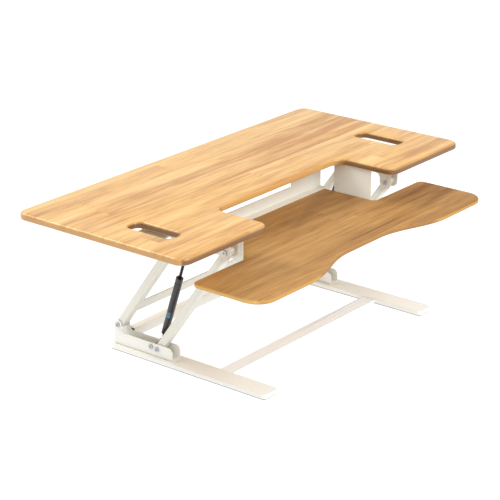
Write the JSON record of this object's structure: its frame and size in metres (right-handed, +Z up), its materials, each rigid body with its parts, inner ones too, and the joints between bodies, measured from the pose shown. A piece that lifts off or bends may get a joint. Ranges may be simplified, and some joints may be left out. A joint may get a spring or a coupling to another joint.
{
  "type": "height adjustable standing desk",
  "caption": "Desktop sit-stand converter: wooden worktop with front cutout and hand slots, keyboard tray, steel parallelogram lift with gas springs on long feet.",
  "frame": {"origin": "on the supporting surface, at the middle of the plan outline (bounding box bottom centre)", "axes": "+X along the worktop's width to the right of the user, +Y away from the user to the back edge, +Z up"},
  "size_m": [1.2, 0.718, 0.4271],
  "materials": {
    "oak": "clear-coated strip-grained boards, honey coloured",
    "steel": "cream white powder coat",
    "dark": "black oxide fasteners",
    "spring_black": "gloss black",
    "zinc": "bright zinc plated bolts and nuts",
    "rod": "dark hard-coated rod",
    "rubber": "matt black",
    "nylon": "natural nylon"
  },
  "bodies": {
    "base": {"left_foot": "steel", "right_foot": "steel", "left_base_bracket": "steel", "right_base_bracket": "steel", "base_rear_tube": "steel", "base_front_strip": "steel", "base_pivot_bolts": "zinc", "base_pivot_nuts": "zinc", "base_pivot_washers": "nylon", "spring_pivot_bolts": "zinc", "spring_pivot_nuts": "zinc", "foot_pads": "rubber", "foot_screws": "dark", "strip_screws": "dark"},
    "rear_arms": {"left_rear_arm": "steel", "right_rear_arm": "steel", "rear_arm_crossbar": "steel"},
    "top": {"worktop": "oak", "keyboard_tray": "oak", "tray_rear_beam": "steel", "left_side_plate": "steel", "right_side_plate": "steel", "left_top_rail": "steel", "right_top_rail": "steel", "top_pivot_bolts": "zinc", "top_pivot_nuts": "zinc", "top_pivot_washers": "nylon", "rail_screws": "dark", "hanger_screws": "dark", "tray_screws": "dark", "left_release_bracket": "steel", "right_release_bracket": "steel", "release_pins": "dark", "bracket_screws": "dark"},
    "front_arm_left": {"left_front_arm": "steel"},
    "front_arm_right": {"right_front_arm": "steel"},
    "spring_cylinder_left": {"left_spring_cylinder": "spring_black"},
    "spring_cylinder_right": {"right_spring_cylinder": "spring_black"},
    "spring_rod_left": {"left_spring_rod": "rod", "left_spring_piston": "rod", "left_spring_stud": "dark"},
    "spring_rod_right": {"right_spring_rod": "rod", "right_spring_piston": "rod", "right_spring_stud": "dark"},
    "paddle_left": {"left_release_paddle": "steel"},
    "paddle_right": {"right_release_paddle": "steel"}
  },
  "joints": [
    {"name": "lift", "type": "hinge", "parent": "base", "child": "rear_arms", "pos_m": [0, 0.237, 0.069], "axis": [1, 0, 0], "range_deg": [-8, 45]},
    {"name": "top_level", "type": "hinge", "parent": "rear_arms", "child": "top", "pos_m": [0, 0.00271, 0.39505], "axis": [-1, 0, 0], "range_deg": [-8.5, 45.5]},
    {"name": "front_arm_left_swing", "type": "hinge", "parent": "base", "child": "front_arm_left", "pos_m": [-0.347, 0.099, 0.035], "axis": [1, 0, 0], "range_deg": [-8.5, 45.5]},
    {"name": "spring_left_tilt", "type": "hinge", "parent": "base", "child": "spring_cylinder_left", "pos_m": [-0.317, 0.12, 0.038], "axis": [1, 0, 0], "range_deg": [-9.7, 52.25]},
    {"name": "spring_left_stroke", "type": "slide", "parent": "spring_cylinder_left", "child": "spring_rod_left", "axis": [0, 0.3121, -0.9501], "range_m": [-0.0164, 0.0878]},
    {"name": "paddle_left", "type": "hinge", "parent": "top", "child": "paddle_left", "pos_m": [-0.43, 0.028, 0.398], "axis": [0, 1, 0], "range_deg": [0, 5], "stiffness_Nm_per_rad": 1.2, "springref_deg": -8.59},
    {"name": "front_arm_right_swing", "type": "hinge", "parent": "base", "child": "front_arm_right", "pos_m": [0.347, 0.099, 0.035], "axis": [1, 0, 0], "range_deg": [-8.5, 45.5]},
    {"name": "spring_right_tilt", "type": "hinge", "parent": "base", "child": "spring_cylinder_right", "pos_m": [0.317, 0.12, 0.038], "axis": [1, 0, 0], "range_deg": [-9.7, 52.25]},
    {"name": "spring_right_stroke", "type": "slide", "parent": "spring_cylinder_right", "child": "spring_rod_right", "axis": [0, 0.3121, -0.9501], "range_m": [-0.0164, 0.0878]},
    {"name": "paddle_right", "type": "hinge", "parent": "top", "child": "paddle_right", "pos_m": [0.43, 0.028, 0.398], "axis": [0, -1, 0], "range_deg": [0, 5], "stiffness_Nm_per_rad": 1.2, "springref_deg": -8.59}
  ],
  "couplings": [
    {"joint": "top_level", "follows": "lift", "ratio": 1},
    {"joint": "front_arm_left_swing", "follows": "lift", "ratio": 1},
    {"joint": "spring_left_tilt", "follows": "lift", "ratio": 1.15},
    {"joint": "spring_left_stroke", "follows": "lift", "m_per_rad": 0.1105},
    {"joint": "front_arm_right_swing", "follows": "lift", "ratio": 1},
    {"joint": "spring_right_tilt", "follows": "lift", "ratio": 1.15},
    {"joint": "spring_right_stroke", "follows": "lift", "m_per_rad": 0.1105}
  ]
}
